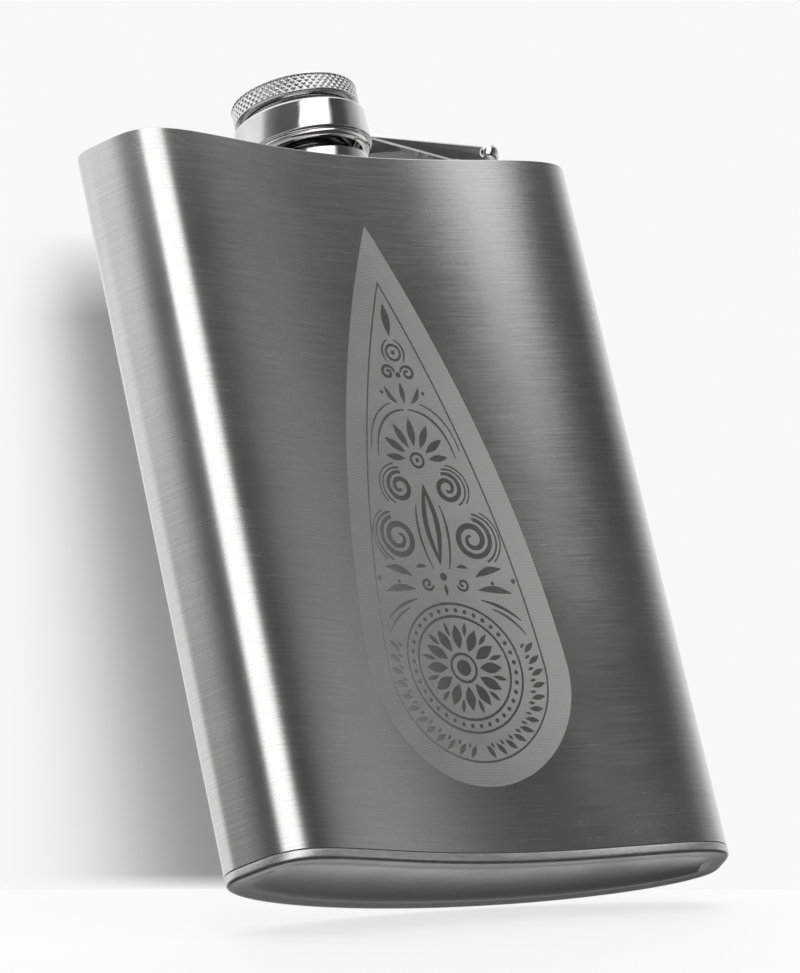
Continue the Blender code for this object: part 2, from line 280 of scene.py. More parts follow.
def make_body_shell():
    """Sheet wrapped to the section, with rounded edges at its top and foot."""
    foot = shell_low.z
    profile = rounded([(0, foot, 0.15), (0, BODY_TOP, 0.22), (SHEET, BODY_TOP, 0.12),
                       (SHEET, foot, 0.1)], closed=True)
    work = bmesh.new()
    add_grid(work, [level(inset, height) for inset, height in profile])
    return mesh_object("satin_body_shell", work)


def plate(name, profile, crown=0.0):
    """Plate with the section's outline, an edge of (inset, height) points and two decks."""
    work = bmesh.new()
    rings = [level(inset, height) for inset, height in profile]
    add_grid(work, rings, closed_profile=False)
    add_deck(work, rings[-1], rise=crown)
    add_deck(work, rings[0])
    return mesh_object(name, work)


def make_base_plate():
    """Pressed plate: ground band, rounded foot, narrow rim and a shallow hollow dish."""
    rim, slope, ledge = 0.8, 1.8, 1.2
    dish, crown = 0.15, 0.75
    profile = rounded([(SHEET + 0.2, BASE_TOP, 0), (0.02, BASE_TOP, 0.12), (0.0, 0.0, 0.5),
                       (rim, 0.0, 0.7), (rim + slope, dish, 0.9),
                       (rim + slope + ledge, dish, 0)], steps=6)
    return plate("ground_base_plate", profile, crown)


def make_top_plate():
    """Flat plate with a soft weld fillet where it meets the shell."""
    reach = SHEET + 0.03            # the plate's edge, just inside the shell
    fillet, slope, ledge = 0.12, 0.5, 1.5
    profile = rounded([(reach, top_low.z, 0.1), (reach, top_high.z + fillet, 0),
                       (reach + slope, top_high.z, 0.3),
                       (reach + slope + ledge, top_high.z, 0)])
    bore, low, high = NECK_RADIUS + 0.1, top_low.z - 1, top_high.z + 1
    hole = turned("neck_hole", [(0, low), (bore, low), (bore, high), (0, high)])
    return cut(plate("ground_top_plate", profile), hole)


# ---- booleans

def cut(item, *tools, operation="DIFFERENCE"):
    """Applies the boolean of each tool to the item, then removes the tools."""
    for tool in tools:
        modifier = item.modifiers.new(tool.name, "BOOLEAN")
        modifier.operation = operation
        modifier.solver = "EXACT"
        modifier.object = tool
    settle(item)
    for tool in tools:
        bpy.data.objects.remove(tool, do_unlink=True)
    return item


def evaluated_mesh(item):
    """Mesh that the item shows, with its curves filled and its modifiers applied."""
    bpy.context.view_layer.update()
    evaluated = item.evaluated_get(bpy.context.evaluated_depsgraph_get())
    return bpy.data.meshes.new_from_object(evaluated)


def settle(item):
    """Applies the item's modifiers to its mesh."""
    mesh = evaluated_mesh(item)
    item.modifiers.clear()
    old = item.data
    item.data = mesh
    bpy.data.meshes.remove(old)
    mesh.name = item.name


def soften(item, width):
    """Rounds the item's sharp edges by a real bevel, in millimetres."""
    bevel = item.modifiers.new("Edges", "BEVEL")
    bevel.width = width * MM
    bevel.segments = 3
    bevel.limit_method = "ANGLE"
    bevel.angle_limit = math.radians(30)
    settle(item)
    item.data.shade_smooth()
    item.data.set_sharp_from_angle(angle=math.radians(40))


def prism(name, outline, low, high, upright=True):
    """Outline extruded from low to high: an XZ outline along Y, or a YZ outline along X."""
    work = bmesh.new()

    def place(point, depth):
        return (point[0], depth, point[1]) if upright else (depth, point[0], point[1])

    near = [work.verts.new(place(point, low)) for point in outline]
    far = [work.verts.new(place(point, high)) for point in outline]
    work.faces.new(near)
    work.faces.new(far[::-1])
    for i in range(len(outline)):
        work.faces.new((near[i - 1], near[i], far[i], far[i - 1]))
    return mesh_object(name, work)


# ---- neck

def thread_relief(depth, start, turns):
    """Round-crested helix: how far it stands out at a turn and a height."""
    def relief(turn, height):
        phase = (height - start) / THREAD_PITCH - turn / (2 * math.pi)
        nearest = np.round(phase)
        inside = np.clip(1 - np.abs(phase - nearest) / THREAD_HALF_WIDTH, 0, 1)
        along = nearest + turn / (2 * math.pi)
        run_in = np.clip(along / THREAD_RUN, 0, 1)
        run_out = np.clip((turns - along) / THREAD_RUN, 0, 1)
        return depth * np.sin(inside * math.pi / 2) * run_in * run_out
    return relief


def make_neck():
    """Spout: a flange under the top plate, a plain tube and a rolled thread below the mouth."""
    top, foot = neck_high.z, neck_low.z
    flange = top_low.z - 0.12
    thread_foot, thread_top, row = BODY_TOP + THREAD_START - 0.8, top - 0.35, 0.07
    profile = rounded([(MOUTH_RADIUS, foot, 0.1), (NECK_FLANGE_RADIUS, foot, 0.2),
                       (NECK_FLANGE_RADIUS, flange, 0.2), (NECK_RADIUS, flange, 0)])
    profile += [(NECK_RADIUS, thread_foot - 1.4)]
    profile += [(NECK_RADIUS, z, 1) for z in np.arange(thread_foot, thread_top, row)]
    profile += rounded([(NECK_RADIUS, thread_top + 0.01, 0), (NECK_RADIUS, top, 0.25),
                        (MOUTH_RADIUS, top, 0.25), (MOUTH_RADIUS, foot + 1, 0)])
    relief = thread_relief(THREAD_DEPTH, BODY_TOP + THREAD_START, THREAD_TURNS)
    return turned("threaded_neck", profile, relief=relief)


def make_neck_shoulder():
    """Ring round the foot of the neck, with a quarter-round crown above a plain band."""
    bore, top, foot = NECK_RADIUS + 0.12, shoulder_high.z, shoulder_low.z
    band = BODY_TOP + 1.9
    crown = bore + 0.7
    profile = rounded([(bore, foot, 0), (bore, top, 0.15), (crown, top, 0.12)])[:-1]
    profile += [(SHOULDER_RADIUS - (SHOULDER_RADIUS - crown) * math.cos(a),
                 top - (top - band) * math.sin(a)) for a in np.radians(np.arange(4, 90, 6))]
    profile += rounded([(SHOULDER_RADIUS, band, 0), (SHOULDER_RADIUS, foot, 0.15),
                        (bore, foot, 0)])
    return turned("polished_shoulder", profile)


# ---- cap

KNURL_COUNT = 56                # diamonds round the head
KNURL_PITCH = 1.12              # height of one diamond
KNURL_DEPTH = 0.24
KNURL_FLANK = 0.86              # share of the way up a diamond that slopes; the rest is flat
KNURL_ROWS = 44                 # rows of points down the head


def knurl(turn, height):
    """Depth below the crests of two families of crossing grooves."""
    a = turn / (2 * math.pi) * KNURL_COUNT
    b = (height - head_low.z) / KNURL_PITCH
    grooves = [np.abs((a + sign * b) % 1.0 - 0.5) * 2 for sign in (1, -1)]
    return -KNURL_DEPTH * (1 - np.minimum((1 - np.maximum(*grooves)) / KNURL_FLANK, 1))


def make_cap_top():
    """Head of the cap: knurled side, fine turning marks in a recessed top, a well below."""
    top, foot = head_high.z, head_low.z + 0.2
    roof, well = top - 1.1, INSERT_BORE + INSERT_WALL + 0.15
    edge, rim = 0.24, HEAD_RADIUS - 1.2
    floor, mark = top - 0.12, 0.006
    profile = [(0, floor)]
    for k, radius in enumerate(np.arange(0.5, rim, 0.5)):
        profile.append((radius, floor if k % 2 else floor + mark))
    profile += rounded([(rim, floor, 0.1), (rim + 0.25, top, 0.15),
                        (HEAD_RADIUS - edge, top, 0.15), (HEAD_RADIUS - 0.02, top - edge, 0.12),
                        (HEAD_RADIUS - 0.01, top - edge - 0.1, 0)])
    rows = np.linspace(top - edge - 0.12, foot + edge + 0.12, KNURL_ROWS)
    from_end = np.minimum(np.arange(KNURL_ROWS), np.arange(KNURL_ROWS)[::-1])
    profile += [(HEAD_RADIUS, z, share) for z, share in zip(rows, np.clip(from_end / 1.5, 0, 1))]
    profile += rounded([(HEAD_RADIUS - 0.01, foot + edge + 0.1, 0),
                        (HEAD_RADIUS - 0.02, foot + edge, 0.12),
                        (HEAD_RADIUS - edge, foot, 0.12), (well, foot, 0.1),
                        (well, roof, 0.2), (0, roof, 0)])
    return turned("knurled_cap_top", profile, relief=knurl, steps=KNURL_COUNT * 12)


def make_cap_insert():
    """Thin cup under the knurled head: inner thread, and a lip that catches in the collar."""
    roof = insert_high.z
    foot, lip = insert_low.z, 0.5
    thread_foot, thread_top, row = foot + 0.3, foot + 5.5, 0.09
    groove, turns = 0.14, 2.6
    outer = INSERT_BORE + INSERT_WALL
    inner_roof = roof - INSERT_WALL
    relief = thread_relief(-groove, BODY_TOP + THREAD_START, turns)
    profile = rounded([(0, roof, 0), (outer, roof, 0.2), (outer, foot + lip, 0.1),
                       (INSERT_LIP_RADIUS, foot + lip, 0.15), (INSERT_LIP_RADIUS, foot, 0.15),
                       (INSERT_BORE, foot, 0.15), (INSERT_BORE, thread_foot, 0)])
    profile += [(INSERT_BORE, z, 1) for z in np.arange(thread_foot + 0.02, thread_top - 0.1, row)]
    profile += rounded([(INSERT_BORE, thread_top, 0), (INSERT_BORE, inner_roof, 0.2),
                        (0, inner_roof, 0)])
    return turned("threaded_cap_insert", profile, relief=relief)


def make_cap_seal():
    """Soft disc, with the mark that the mouth has pressed into its underside."""
    low, high = seal_low.z, seal_high.z
    mark = low + 0.06
    profile = [(0, low), (6.2, low), (6.6, mark), (7.4, low), (7.8, mark)]
    profile += rounded([(8.0, low, 0), (SEAL_RADIUS, low, 0.3), (SEAL_RADIUS, high, 0.3),
                        (0, high, 0)])
    return turned("silicone_seal", profile)


def make_collar_ring():
    """Captive collar: a plain band over a narrower rolled rim, hollow for the cup's lip."""
    top, roll_foot = collar_high.z, collar_low.z
    foot = roll_foot + COLLAR_ROLL
    neckline = INSERT_BORE + INSERT_WALL + 0.3
    profile = rounded([
        (neckline, top, 0.12),
        (COLLAR_RADIUS - 0.05, top, 0.5),
        (COLLAR_RADIUS, top - 0.6, 0),
        (COLLAR_RADIUS, foot + 0.02, 0.16),
        (COLLAR_ROLL_RADIUS - 0.12, foot - 0.04, 0.1),
        (COLLAR_ROLL_RADIUS, roll_foot + 0.62, 0.4),
        (COLLAR_ROLL_RADIUS - 0.3, roll_foot, 0.4),
        (neckline, roll_foot + 0.05, 0.3),
        (neckline, foot - 0.3, 0.2),
        (COLLAR_BORE, foot, 0.3),
        (COLLAR_BORE, top - 0.7, 0.2),
        (neckline, top - 0.7, 0.12),
    ], closed=True)
    return turned("polished_collar", profile)


# ---- hinge

def arc(centre, radius, start, end, step=6.0):
    """Points of an arc, angles in degrees."""
    count = max(2, math.ceil(abs(end - start) / step))
    turns = np.radians(np.linspace(start, end, count + 1))
    return [(centre[0] + radius * math.cos(t), centre[1] + radius * math.sin(t)) for t in turns]


def circle(centre, radius, steps):
    """Closed outline of a circle."""
    return arc(centre, radius, 0, 360 - 360 / steps, 360 / steps)


def pin_hole():
    """Rod along Y that drills the hole for the pin, as a tool."""
    return prism("hole", circle((PIN.x, PIN.z), PIN_HOLE_RADIUS, 64), AXIS_Y - 9, AXIS_Y + 9)


def make_hinge_arm():
    """Pressed channel: web with bent-down sides that end in two drilled eyes."""
    half = ARM_WIDTH / 2
    bend = 1.3
    climb = 0.25                    # of the web, from the pin to the collar
    start = COLLAR_RADIUS - 2.0
    top = PIN.z + EYE_RADIUS
    side_foot = top + climb - 1.25
    outline = [(start, top + climb)] + arc((PIN.x, PIN.z), EYE_RADIUS, 90, -90)
    outline += [(PIN.x - 9.0, PIN.z - EYE_RADIUS), (PIN.x - 24.0, side_foot), (start, side_foot)]
    arm = prism("polished_hinge_arm", outline, AXIS_Y - half, AXIS_Y + half)

    def hood(reach, roof, radius, foot):
        """Section of a round-shouldered bar, as a YZ outline."""
        right = arc((AXIS_Y + reach - radius, roof - radius), radius, 0, 90, 12)
        left = arc((AXIS_Y - reach + radius, roof - radius), radius, 90, 180, 12)
        return [(AXIS_Y + reach, foot)] + right + left + [(AXIS_Y - reach, foot)]

    def leaning(tool):
        """Tips a bar to the fall of the web from collar to pin."""
        for vert in tool.data.vertices:
            share = min(1.0, (PIN.x - vert.co.x / MM) / (PIN.x - start))
            vert.co.z += climb * share * MM
        return tool

    foot = PIN.z - 4.0
    outside = leaning(prism("bend", hood(half, top, bend, foot), start - 1, PIN.x + 6, False))
    cut(arm, outside, operation="INTERSECT")
    inside = leaning(prism("channel", hood(half - ARM_SHEET, top - ARM_SHEET, bend - ARM_SHEET,
                                           foot), start - 2, PIN.x + 7, False))
    slot = prism("slot", [(PIN.x - 2.4, foot), (PIN.x + 8, foot), (PIN.x + 8, top + 2),
                          (PIN.x - 2.4, top + 2)], AXIS_Y - half + ARM_SHEET,
                 AXIS_Y + half - ARM_SHEET)
    seat = turned("seat", [(0, foot - 4), (COLLAR_RADIUS + 0.03, foot - 4),
                           (COLLAR_RADIUS + 0.03, top + 4), (0, top + 4)])
    cut(arm, inside, slot, seat, pin_hole())
    soften(arm, 0.14)
    return arm


def make_hinge_bracket():
    """Foot and knuckle of folded sheet between the arm's sides."""
    foot = bracket_low.z
    reach = (bracket_high.x - bracket_low.x) / 2
    lug, sheet = 1.9, 0.8
    outline = arc((PIN.x, PIN.z), lug, 180, 0)
    outline += [(PIN.x + lug, foot + sheet), (PIN.x + reach, foot + sheet), (PIN.x + reach, foot),
                (PIN.x - reach, foot), (PIN.x - reach, foot + sheet), (PIN.x - lug, foot + sheet)]
    bracket = prism("polished_hinge_bracket", outline, bracket_low.y, bracket_high.y)
    cut(bracket, pin_hole())
    soften(bracket, 0.2)
    return bracket


def make_hinge_pin():
    """Riveted pin with a domed head at each end."""
    inner = ARM_WIDTH / 2 + 0.03    # the head's underside, from the middle of the pin
    crown = (pin_high.y - pin_low.y) / 2
    brim = inner + 0.12
    half = [(0, crown)]
    half += [(PIN_HEAD_RADIUS * math.sin(a), brim + (crown - brim) * math.cos(a))
             for a in np.radians(np.arange(8, 90, 8))]
    half += [(PIN_HEAD_RADIUS, brim), (PIN_HEAD_RADIUS - 0.08, inner), (PIN_RADIUS, inner)]
    profile = half + [(radius, -z) for radius, z in reversed(half)]
    pin = turned("domed_hinge_pin", profile, centre=Vector((0, 0, 0)), steps=72)
    lay = Matrix.Rotation(math.pi / 2, 4, "X")
    pin.data.transform(Matrix.Translation(PIN * MM) @ lay)
    return pin


# ---- etched ornament

DROP_X = 0.1                    # its axis, from the middle of the flask
DROP_FOOT = 12.5                # heights above the base
DROP_TIP = 110.5
DROP_RADIUS = 19.6              # of the round foot of the drop
DROP_SIDE = 214.0               # radius of each long side
DROP_BORDER = 3.9               # plain etched margin round the pattern
DROP_MIDDLE = (0, DROP_FOOT + DROP_RADIUS)
PALMETTE = (0, 68.5)
ROSETTE = (0, 32.6)


def drop(inset):
    """Outline of the drop: a round foot and two long sides that meet in the tip."""
    middle = DROP_MIDDLE[1]
    reach = DROP_TIP - middle
    rise = (reach ** 2 + DROP_RADIUS ** 2 - 2 * DROP_SIDE * DROP_RADIUS) / (2 * reach)
    side = (-math.sqrt((DROP_SIDE - DROP_RADIUS) ** 2 - rise ** 2), middle + rise)
    tip = math.degrees(math.acos(-side[0] / (DROP_SIDE - inset)))
    join = math.degrees(math.atan2(middle - side[1], -side[0]))
    half = arc(side, DROP_SIDE - inset, tip, join, 0.4)
    half += arc(DROP_MIDDLE, DROP_RADIUS - inset, join, -90, 4)[1:]
    return half + mirrored(half[1:-1])


def mirrored(outline):
    """The outline's mirror image across the drop's axis."""
    return [(-x, z) for x, z in reversed(outline)]


def leaf(foot, tip, width, bend=0.0, steps=8):
    """Pointed leaf between two points; bend shifts its middle sideways."""
    (x0, z0), (x1, z1) = foot, tip
    length = math.hypot(x1 - x0, z1 - z0)
    run = ((x1 - x0) / length, (z1 - z0) / length)
    side = (-run[1], run[0])

    def edge(sign, t):
        away = math.sin(math.pi * t) * (bend + sign * width / 2)
        return (x0 + run[0] * length * t + side[0] * away,
                z0 + run[1] * length * t + side[1] * away)

    there = [edge(1, i / steps) for i in range(steps + 1)]
    back = [edge(-1, i / steps) for i in range(steps - 1, 0, -1)]
    return there + back


def stroke(path, widths):
    """Line of changing width along a path, with round ends."""
    path = np.array(path)
    run = np.gradient(path, axis=0)
    run /= np.hypot(run[:, 0], run[:, 1])[:, None]
    side = np.c_[-run[:, 1], run[:, 0]] * (np.array(widths) / 2)[:, None]
    end = math.degrees(math.atan2(run[-1, 1], run[-1, 0]))
    start = math.degrees(math.atan2(run[0, 1], run[0, 0]))
    left = [tuple(p) for p in path + side]
    right = [tuple(p) for p in (path - side)[::-1]]
    return (left + arc(tuple(path[-1]), widths[-1] / 2, end + 90, end - 90, 45)[1:-1] + right
            + arc(tuple(path[0]), widths[0] / 2, start - 90, start - 270, 45)[1:-1])


def scroll(centre, radius, turns, start, hand=1, thick=0.8, thin=0.35):
    """Spiral that winds in from its radius, starting at an angle; hand is its sense."""
    count = math.ceil(abs(turns) * 28)
    t = np.linspace(0, 1, count + 1)
    reach = radius * (1 - t) ** 0.8 * 0.84 + radius * 0.16
    angle = np.radians(start + hand * 360 * turns * t)
    path = np.c_[centre[0] + reach * np.cos(angle), centre[1] + reach * np.sin(angle)]
    return stroke(path, thin + (thick - thin) * np.sin(np.pi * np.clip(t * 0.9 + 0.1, 0, 1)) ** 0.7)


def band(centre, radius, width, start, end):
    """Arc of even width with round ends."""
    path = arc(centre, radius, start, end, 5)
    return stroke(path, [width] * len(path))


def around(centre, inner, outer, angles, width, lean=0.0):
    """Leaves that stand round a centre at the given angles."""
    leaves = []
    for angle in angles:
        a, b = math.radians(angle), math.radians(angle + lean)
        leaves.append(leaf((centre[0] + inner * math.cos(a), centre[1] + inner * math.sin(a)),
                           (centre[0] + outer * math.cos(b), centre[1] + outer * math.sin(b)),
                           width))
    return leaves


def dot(centre, radius):
    return circle(centre, radius, 16)


def hoop(centre, radius, width):
    """Both edges of a circular line."""
    return [circle(centre, radius + side * width / 2, 72) for side in (1, -1)]


def stem(points, thick=0.4, thin=0.22):
    """Tapering line along the curve drawn by four control points."""
    points = np.array(points, float)
    t = np.linspace(0, 1, 15)[:, None]
    path = ((1 - t) ** 3 * points[0] + 3 * (1 - t) ** 2 * t * points[1]
            + 3 * (1 - t) * t ** 2 * points[2] + t ** 3 * points[3])
    return stroke(path, thin + (thick - thin) * np.sin(np.pi * t[:, 0]))


def on_axis():
    """Outlines of the ornament that are symmetric by themselves, from the tip to the foot."""
    return [
        # fine line along the plain margin
        drop(DROP_BORDER + 0.1), drop(DROP_BORDER + 0.45),
        # bud at the tip
        leaf((0, 90.4), (0, 96.6), 1.6),
        *hoop((0, 87.6), 1.35, 0.5), dot((0, 87.6), 0.42),
        # small palmette
        dot((0, 83.6), 0.5), leaf((0, 78.4), (0, 82.4), 1.0),
        # seven-leaf palmette
        *around(PALMETTE, 2.3, 7.6, (90,), 1.5),
        *hoop(PALMETTE, 1.2, 0.5), dot(PALMETTE, 0.4),
        # long leaf with a light midrib
        leaf((0, 50.0), (0, 64.6), 3.2), leaf((0, 52.2), (0, 62.4), 1.2),
        dot((0, 48.2), 0.7), leaf((0, 44.9), (0, 47.0), 0.8),
        # rosette
        dot(ROSETTE, 1.4), *hoop(ROSETTE, 2.4, 0.5),
        *around(ROSETTE, 3.1, 7.4, range(0, 360, 30), 1.9),
        *around(ROSETTE, 5.4, 8.1, range(15, 375, 30), 0.8),
        *hoop(ROSETTE, 8.8, 0.45),
        *[dot(point, 0.4) for point in arc(ROSETTE, 9.9, 5, 355, 10)],
        *hoop(ROSETTE, 11.0, 0.42),
    ]


def on_right():
    """Outlines of the ornament on the right of its axis, from the tip to the foot."""
    return [
        # small scrolls under the bud
        scroll((1.95, 84.0), 1.35, 1.3, 170, -1, 0.6, 0.3),
        stem([(0.7, 89.9), (2.3, 88.9), (2.5, 87.3), (1.6, 86.0)], 0.45),
        leaf((3.4, 81.6), (1.2, 78.4), 0.9, 0.4), dot((4.1, 80.4), 0.35),
        # palmette leaves inside an ogee line, and their scrolls
        *around(PALMETTE, 2.3, 7.2, (62,), 1.4),
        *around(PALMETTE, 2.3, 6.9, (34,), 1.4),
        *around(PALMETTE, 2.3, 6.2, (6,), 1.2),
        stem([(0.5, 77.4), (4.2, 77.2), (7.0, 74.2), (7.6, 69.0)], 0.5),
        stem([(3.0, 78.5), (5.8, 77.4), (7.9, 75.0), (8.7, 70.4)], 0.35),
        scroll((4.7, 63.7), 2.6, 1.6, 100, -1, 0.9),
        band((4.7, 63.7), 3.35, 0.34, -60, 96), band((4.7, 63.7), 4.05, 0.3, -40, 82),
        # large scrolls over the rosette
        scroll((7.3, 54.8), 3.6, 1.9, 75, -1, 1.05),
        band((7.3, 54.8), 4.45, 0.4, -62, 78), band((7.3, 54.8), 5.15, 0.3, -50, 62),
        stem([(2.3, 60.6), (3.2, 57.6), (3.0, 53.6), (1.6, 49.6)], 0.5),
        leaf((2.9, 49.9), (5.2, 49.7), 0.7, 0.2),
        # fan of leaves and lines between the scrolls and the rosette
        scroll((3.5, 46.9), 1.15, 1.2, 200, 1, 0.5),
        leaf((6.2, 48.2), (11.6, 49.6), 1.3, 0.4),
        leaf((6.0, 45.9), (12.6, 45.2), 1.3, 0.5),
        stem([(6.4, 44.2), (8.8, 43.6), (11.0, 42.6), (13.0, 40.6)], 0.6),
        stem([(8.2, 42.6), (10.2, 41.8), (12.0, 40.4), (13.3, 38.2)], 0.45),
        dot((13.2, 47.4), 0.45), dot((9.2, 47.1), 0.35),
        # skirt of leaves round the rosette
        *around(DROP_MIDDLE, 12.6, 15.0, np.arange(-85.5, 22, 9), 0.95, 5),
        *around(DROP_MIDDLE, 12.2, 13.4, np.arange(-81, 22, 9), 0.5, 2),
    ]


def ornament():
    """Outlines cut out of the drop: on its axis, on its right and mirrored on its left."""
    right = on_right()
    return on_axis() + right + [mirrored(outline) for outline in right]


def make_etching():
    """The etched drop, cut through by its ornament and wrapped on the hollow front."""
    proud, sunk = 0.03, 0.05        # how far it stands out of the shell and reaches into it
    reach, fold = 19.0, 1.5         # cuts across it, so that it can follow the hollow
    curve = bpy.data.curves.new("etched_drop", "CURVE")
    curve.dimensions = "2D"
    curve.fill_mode = "BOTH"
    for outline in [drop(0)] + ornament():
        spline = curve.splines.new("POLY")
        spline.points.add(len(outline) - 1)
        for point, (x, z) in zip(spline.points, outline):
            point.co = (x, z, 0, 1)
        spline.use_cyclic_u = True
    source = add_object("etched_drop_outline", curve)
    flat = evaluated_mesh(source)
    bpy.data.objects.remove(source, do_unlink=True)

    work = bmesh.new()
    work.from_mesh(flat)
    bpy.data.meshes.remove(flat)
    bmesh.ops.remove_doubles(work, verts=work.verts, dist=0.001)
    bmesh.ops.delete(work, geom=[v for v in work.verts if not v.link_faces], context="VERTS")
    for x in np.arange(-reach, reach + 0.1, fold):
        bmesh.ops.bisect_plane(work, geom=work.verts[:] + work.edges[:] + work.faces[:],
                               plane_co=(x, 0, 0), plane_no=(1, 0, 0), dist=0.0005)
    front = work.faces[:]
    rim = [edge for edge in work.edges if edge.is_boundary]
    back = bmesh.ops.duplicate(work, geom=work.verts[:] + work.edges[:] + front)
    copied = back["vert_map"]
    for edge in rim:
        a, b = edge.verts
        work.faces.new((a, b, copied[b], copied[a]))
    sunken = {item for item in back["geom"] if isinstance(item, bmesh.types.BMVert)}
    for vert in work.verts:
        x, z = vert.co.x + DROP_X, vert.co.y
        vert.co = on_front(x, z, -sunk if vert in sunken else proud)
    return mesh_object("etched_ornament", work)


# ---- materials

class Nodes:
    """Short hand for building a node tree."""

    def __init__(self, tree):
        self.tree = tree
        tree.nodes.clear()

    def add(self, kind, inputs=(), **settings):
        node = self.tree.nodes.new(kind)
        for key, value in settings.items():
            setattr(node, key, value)
        for key, value in dict(inputs).items():
            if isinstance(value, bpy.types.NodeSocket):
                self.tree.links.new(value, node.inputs[key])
            else:
                node.inputs[key].default_value = value
        return node

    def noise(self, coordinates, scale, detail=3.0, roughness=0.55):
        return self.add("ShaderNodeTexNoise", {"Vector": coordinates, "Scale": scale,
                                               "Detail": detail, "Roughness": roughness}).outputs[0]

    def span(self, value, low, high, start=0.3, end=0.7):
        """Maps a value from start..end to low..high."""
        return self.add("ShaderNodeMapRange", {"Value": value, "From Min": start,
                                               "From Max": end, "To Min": low,
                                               "To Max": high}).outputs[0]

    def math(self, operation, a, b=0.0):
        return self.add("ShaderNodeMath", {0: a, 1: b}, operation=operation).outputs[0]

    def plus(self, a, b):
        return self.math("ADD", a, b)

    def minus(self, a, b):
        return self.math("SUBTRACT", a, b)

    def times(self, a, b):
        return self.math("MULTIPLY", a, b)

    def shades(self, value, dark, light, start=0.3, end=0.7):
        """Colour that goes from dark to light as the value goes from start to end."""
        return self.blend(self.span(value, 0.0, 1.0, start, end), rgb(*dark), rgb(*light))

    def blend(self, share, a, b):
        return self.add("ShaderNodeMix", {0: share, 6: a, 7: b}, data_type="RGBA").outputs[2]

    def grey(self, value):
        channels = {channel: value for channel in ("Red", "Green", "Blue")}
        return self.add("ShaderNodeCombineColor", channels).outputs[0]

    def share_along(self, direction, axis):
        """Dot product of a direction and a fixed axis."""
        return self.add("ShaderNodeVectorMath", {0: direction, 1: axis},
                        operation="DOT_PRODUCT").outputs["Value"]

    def stretched(self, scale=(1, 1, 1)):
        """The object's own coordinates, scaled along each axis."""
        place = self.add("ShaderNodeTexCoord").outputs["Object"]
        return self.add("ShaderNodeMapping", {"Vector": place, "Scale": scale}).outputs[0]

    def bump(self, height, strength, distance, normal=None):
        inputs = {"Height": height, "Strength": strength, "Distance": distance}
        if normal:
            inputs["Normal"] = normal
        return self.add("ShaderNodeBump", inputs).outputs[0]


def rgb(red, green, blue):
    return (red, green, blue, 1.0)


def grey(level):
    return rgb(level, level, level)


def finish_metal(nodes, color, roughness, normal, **uniform):
    """Metal shader with varying colour, roughness and normal and other uniform values."""
    inputs = {"Base Color": color, "Roughness": roughness, "Normal": normal, "Metallic": 1.0}
    inputs.update({key.replace("_", " ").title(): value for key, value in uniform.items()})
    if "Anisotropic" in inputs:
        inputs["Tangent"] = nodes.add("ShaderNodeTangent", direction_type="UV_MAP").outputs[0]
    shader = nodes.add("ShaderNodeBsdfPrincipled", inputs)
    nodes.add("ShaderNodeOutputMaterial", {"Surface": shader.outputs[0]})


def new_material(name, preview):
    material = bpy.data.materials.new(name)
    material.use_nodes = True
    material.diffuse_color = preview
    return material, Nodes(material.node_tree)


def satin_steel():
    """Body: brushed round the flask, with a fine grain and a few longer hairlines."""
    material, nodes = new_material("satin_steel", rgb(0.56, 0.55, 0.53))
    place = nodes.stretched()
    brush = nodes.noise(nodes.stretched((90, 90, 7000)), 1.0, 4.0, 0.65)
    hairs = nodes.noise(nodes.stretched((25, 25, 2600)), 1.0, 2.0, 0.5)
    grain = nodes.noise(place, 4200, 2.0, 0.6)
    cloud = nodes.noise(place, 45, 4.0, 0.6)
    lines = nodes.plus(nodes.times(brush, 0.6), nodes.times(grain, 0.4))
    color = nodes.shades(lines, (0.50, 0.49, 0.475), (0.64, 0.625, 0.605), 0.35, 0.65)
    scratch = nodes.span(hairs, 0.0, 0.008, 0.50, 0.75)
    rough = nodes.plus(nodes.plus(nodes.span(lines, 0.20, 0.26), scratch),
                       nodes.span(cloud, -0.03, 0.03))
    normal = nodes.bump(lines, 0.11, 0.00004)
    finish_metal(nodes, color, rough, normal, anisotropic=0.6, anisotropic_rotation=0.25)
    return material


def ground_steel():
    """Base and top plates: rough ground surface with short scratches."""
    material, nodes = new_material("ground_steel", rgb(0.60, 0.59, 0.58))
    place = nodes.stretched()
    scratches = nodes.noise(nodes.stretched((500, 5200, 5200)), 1.0, 3.0, 0.6)
    grain = nodes.noise(place, 3500, 3.0, 0.65)
    cloud = nodes.noise(place, 60, 3.0, 0.6)
    lines = nodes.plus(nodes.times(scratches, 0.5), nodes.times(grain, 0.5))
    color = nodes.shades(lines, (0.50, 0.49, 0.48), (0.70, 0.69, 0.675), 0.35, 0.65)
    rough = nodes.plus(nodes.span(lines, 0.30, 0.46), nodes.span(cloud, -0.04, 0.04))
    normal = nodes.bump(lines, 0.5, 0.00006)
    finish_metal(nodes, color, rough, normal)
    return material


def polished_steel():
    """Collar, shoulder, arm and pin: near mirror with buffing marks and faint smudges."""
    material, nodes = new_material("polished_steel", rgb(0.66, 0.65, 0.63))
    place = nodes.stretched()
    buffing = nodes.noise(nodes.stretched((300, 300, 5000)), 1.0, 3.0, 0.6)
    smudge = nodes.noise(place, 220, 4.0, 0.6)
    wave = nodes.noise(place, 350, 1.0, 0.4)
    color = nodes.shades(smudge, (0.60, 0.585, 0.57), (0.68, 0.67, 0.655))
    rough = nodes.plus(nodes.span(buffing, 0.05, 0.10), nodes.span(smudge, 0.0, 0.05))
    waviness = nodes.bump(wave, 0.28, 0.00012)
    normal = nodes.bump(buffing, 0.06, 0.00002, waviness)
    finish_metal(nodes, color, rough, normal)
    return material


